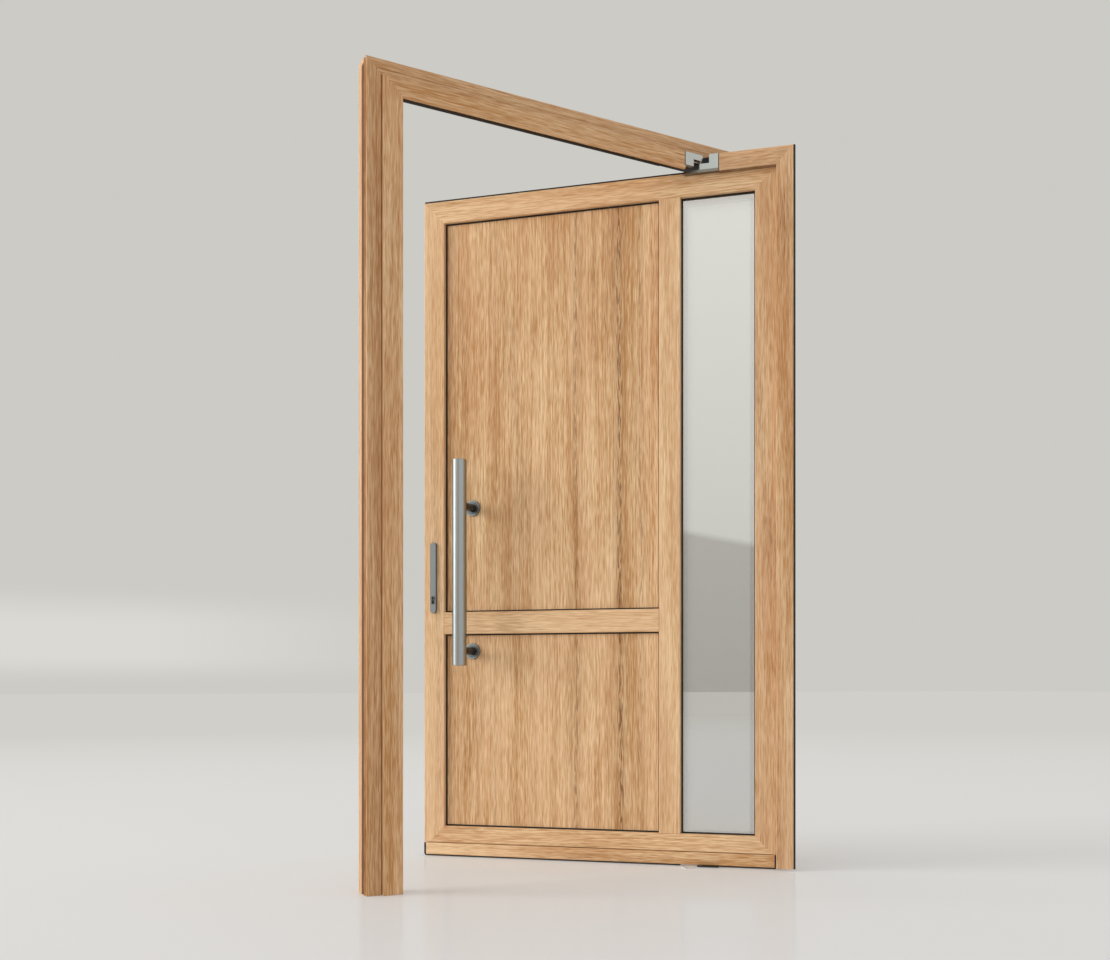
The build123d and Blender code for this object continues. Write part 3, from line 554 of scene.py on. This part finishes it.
# Studio floor: a pale coat with a faint sheen that keeps the door's shadow and fades into the pale
# room with distance.
FLOOR_COAT, GLOW_NEAR, GLOW_FAR = "EEEDEA", "DFDEDA", "D1CFC9"
FADE_MIDDLE, FADE_START, FADE_END = (-2.0, -3.4, 0.0), 3.0, 16.0
floor_mesh = bpy.data.meshes.new("studio_floor")
reach, under = 90.0, -0.0006
floor_mesh.from_pydata([(-reach, -reach, under), (reach, -reach, under), (reach, reach, under),
                        (-reach, reach, under)], [], [(0, 1, 2, 3)])
floor = bpy.data.objects.new("studio_floor", floor_mesh)
bpy.context.scene.collection.objects.link(floor)
coated, tree = new_finish("coated_floor")
place = add(tree, "ShaderNodeTexCoord")["Object"]
away = add(tree, "ShaderNodeVectorMath", {0: place, 1: FADE_MIDDLE}, operation="DISTANCE")["Value"]
matt = add(tree, "ShaderNodeBsdfDiffuse", {"Color": linear(FLOOR_COAT)})["BSDF"]
gloss = add(tree, "ShaderNodeBsdfGlossy", {"Color": linear("FFFFFF"), "Roughness": 0.12})["BSDF"]
sheen = add(tree, "ShaderNodeFresnel", {"IOR": 1.15})["Fac"]
sheen = add(tree, "ShaderNodeMath", {0: sheen, 1: 0.42}, operation="MULTIPLY")["Value"]
near = add(tree, "ShaderNodeMixShader", {0: sheen, 1: matt, 2: gloss})["Shader"]
mist = add(tree, "ShaderNodeMapRange",
           {"Value": away, "From Min": FADE_START, "From Max": FADE_END})["Result"]
mist = add(tree, "ShaderNodeMath", {0: mist, 1: 0.75}, operation="POWER")["Value"]
glow = add(tree, "ShaderNodeMix", {"Factor": mist, 6: linear(GLOW_NEAR), 7: linear(GLOW_FAR)},
           data_type="RGBA")[2]
glow = add(tree, "ShaderNodeEmission", {"Color": glow, "Strength": 1.0})["Emission"]
share = add(tree, "ShaderNodeMapRange", {"Value": mist, "To Min": 0.10, "To Max": 1.0})["Result"]
surface = add(tree, "ShaderNodeMixShader", {0: share, 1: near, 2: glow})["Shader"]
add(tree, "ShaderNodeOutputMaterial", {"Surface": surface})
floor_mesh.materials.append(coated)


# The room: pale for all that sees it, with a dim far wall behind the camera that the glass mirrors as
# a grey band, and an even fill for what it lights. A softbox stands far to the left.
WALL, PAINTED_LIGHT_WALL, DIM_WALL, FILL = "CCCBC6", "DAD9D4", "A8A69F", "FDFDFF"
SOFTBOX_PLACE = Vector((-22.5, 8.1, 7.5))
SOFTBOX_WAY = SOFTBOX_PLACE.normalized()
world = bpy.data.worlds.new("pale_room")
bpy.context.scene.world = world
world.use_nodes = True
tree = world.node_tree
tree.nodes.clear()
ray = add(tree, "ShaderNodeLightPath")
seen = add(tree, "ShaderNodeMath", {0: ray["Is Camera Ray"], 1: ray["Is Glossy Ray"]},
           operation="MAXIMUM")["Value"]
seen = add(tree, "ShaderNodeMath", {0: seen, 1: ray["Is Transmission Ray"]}, operation="MAXIMUM")["Value"]
aim_vector = add(tree, "ShaderNodeTexCoord")["Generated"]
aim = add(tree, "ShaderNodeSeparateXYZ", {"Vector": aim_vector})
# Along the dim wall's run its top edge falls; the slope is per unit of the ray's own direction.
side = add(tree, "ShaderNodeMath", {0: aim["Y"], 1: 0.22, 2: 0.238}, operation="MULTIPLY_ADD")["Value"]
top = add(tree, "ShaderNodeMath", {0: aim["Z"], 1: side}, operation="SUBTRACT")["Value"]
top = add(tree, "ShaderNodeMapRange", {"Value": top, "From Min": -0.003, "From Max": 0.003,
                                       "To Min": 1.0, "To Max": 0.0})["Result"]
foot = add(tree, "ShaderNodeMapRange",
           {"Value": aim["Z"], "From Min": -0.012, "From Max": -0.008})["Result"]
facing = add(tree, "ShaderNodeMapRange",
             {"Value": aim["X"], "From Min": -0.70, "From Max": -0.78})["Result"]
front = add(tree, "ShaderNodeMapRange",
            {"Value": aim["Y"], "From Min": -0.30, "From Max": -0.40})["Result"]
dim = add(tree, "ShaderNodeMath", {0: top, 1: foot}, operation="MULTIPLY")["Value"]
dim = add(tree, "ShaderNodeMath", {0: dim, 1: facing}, operation="MULTIPLY")["Value"]
dim = add(tree, "ShaderNodeMath", {0: dim, 1: front}, operation="MULTIPLY")["Value"]
mirrored = add(tree, "ShaderNodeMath", {0: dim, 1: ray["Is Glossy Ray"]}, operation="MULTIPLY")["Value"]
lift = add(tree, "ShaderNodeMapRange", {"Value": aim["Z"], "From Min": 0.0, "From Max": 0.40,
                                        "To Min": 1.16, "To Max": 1.68})["Result"]
# Metal mirrors the softbox as a soft glow, and the lamp itself is kept out of reflections.
towards = add(tree, "ShaderNodeVectorMath", {0: aim_vector, 1: SOFTBOX_WAY},
              operation="DOT_PRODUCT")["Value"]
lamp_glow = add(tree, "ShaderNodeMapRange", {"Value": towards, "From Min": 0.92, "From Max": 0.985,
                                             "To Min": 0.0, "To Max": 5.4},
                interpolation_type="SMOOTHSTEP")["Result"]
lift = add(tree, "ShaderNodeMath", {0: lift, 1: lamp_glow})["Value"]
lift = add(tree, "ShaderNodeMix", {"Factor": ray["Is Glossy Ray"], 2: 1.0, 3: lift})["Result"]
# Low on the left a soft band of painted light brightens the wall, some 4 degrees high.
rise = add(tree, "ShaderNodeMapRange", {"Value": aim["Z"], "From Min": 0.0, "From Max": 0.024},
           interpolation_type="SMOOTHSTEP")["Result"]
fall = add(tree, "ShaderNodeMapRange", {"Value": aim["Z"], "From Min": 0.044, "From Max": 0.078,
                                        "To Min": 1.0, "To Max": 0.0},
           interpolation_type="SMOOTHSTEP")["Result"]
left = add(tree, "ShaderNodeMapRange", {"Value": aim["X"], "From Min": 0.30, "From Max": 0.10})["Result"]
band = add(tree, "ShaderNodeMath", {0: rise, 1: fall}, operation="MULTIPLY")["Value"]
band = add(tree, "ShaderNodeMath", {0: band, 1: left}, operation="MULTIPLY")["Value"]
band = add(tree, "ShaderNodeMath", {0: band, 1: ray["Is Camera Ray"]}, operation="MULTIPLY")["Value"]
colour = add(tree, "ShaderNodeMix", {"Factor": band, 6: linear(WALL), 7: linear(PAINTED_LIGHT_WALL)},
             data_type="RGBA")[2]
colour = add(tree, "ShaderNodeMix", {"Factor": mirrored, 6: colour, 7: linear(DIM_WALL)},
             data_type="RGBA")[2]
shown = add(tree, "ShaderNodeBackground", {"Color": colour, "Strength": lift})["Background"]
ambient = add(tree, "ShaderNodeBackground", {"Color": linear(FILL), "Strength": 0.67})["Background"]
both = add(tree, "ShaderNodeMixShader", {0: seen, 1: ambient, 2: shown})["Shader"]
add(tree, "ShaderNodeOutputWorld", {"Surface": both})


# Softbox: one large square lamp, so far off that its shadows are soft and its light falls evenly.
# Neither the camera nor a mirror sees it.
softbox = bpy.data.lights.new("softbox", "AREA")
softbox.shape = "RECTANGLE"
softbox.size, softbox.size_y = 12.0, 12.0
softbox.energy = 3480.0
softbox_object = bpy.data.objects.new("softbox", softbox)
bpy.context.scene.collection.objects.link(softbox_object)
softbox_object.location = SOFTBOX_PLACE
softbox_object.rotation_euler = (math.radians(76), 0, math.radians(-109.7))
softbox_object.visible_camera = False
softbox_object.visible_glossy = False


# Camera: level, at hip height, turned to the right, with the frame shifted up as the picture has it.
# Colours are shown plainly, with no film look.
camera = bpy.data.cameras.new("camera")
camera.sensor_width = 36.0
camera.lens = 38.379
camera.shift_x = -0.11776
camera.shift_y = 0.18520
camera.clip_end = 300.0
camera_object = bpy.data.objects.new("camera", camera)
bpy.context.scene.collection.objects.link(camera_object)
camera_object.location = (-2.0030, -3.36576, 0.60096)
camera_object.rotation_euler = (math.radians(90), 0, math.radians(-30.038))
bpy.context.scene.camera = camera_object
bpy.context.scene.view_settings.view_transform = "Standard"
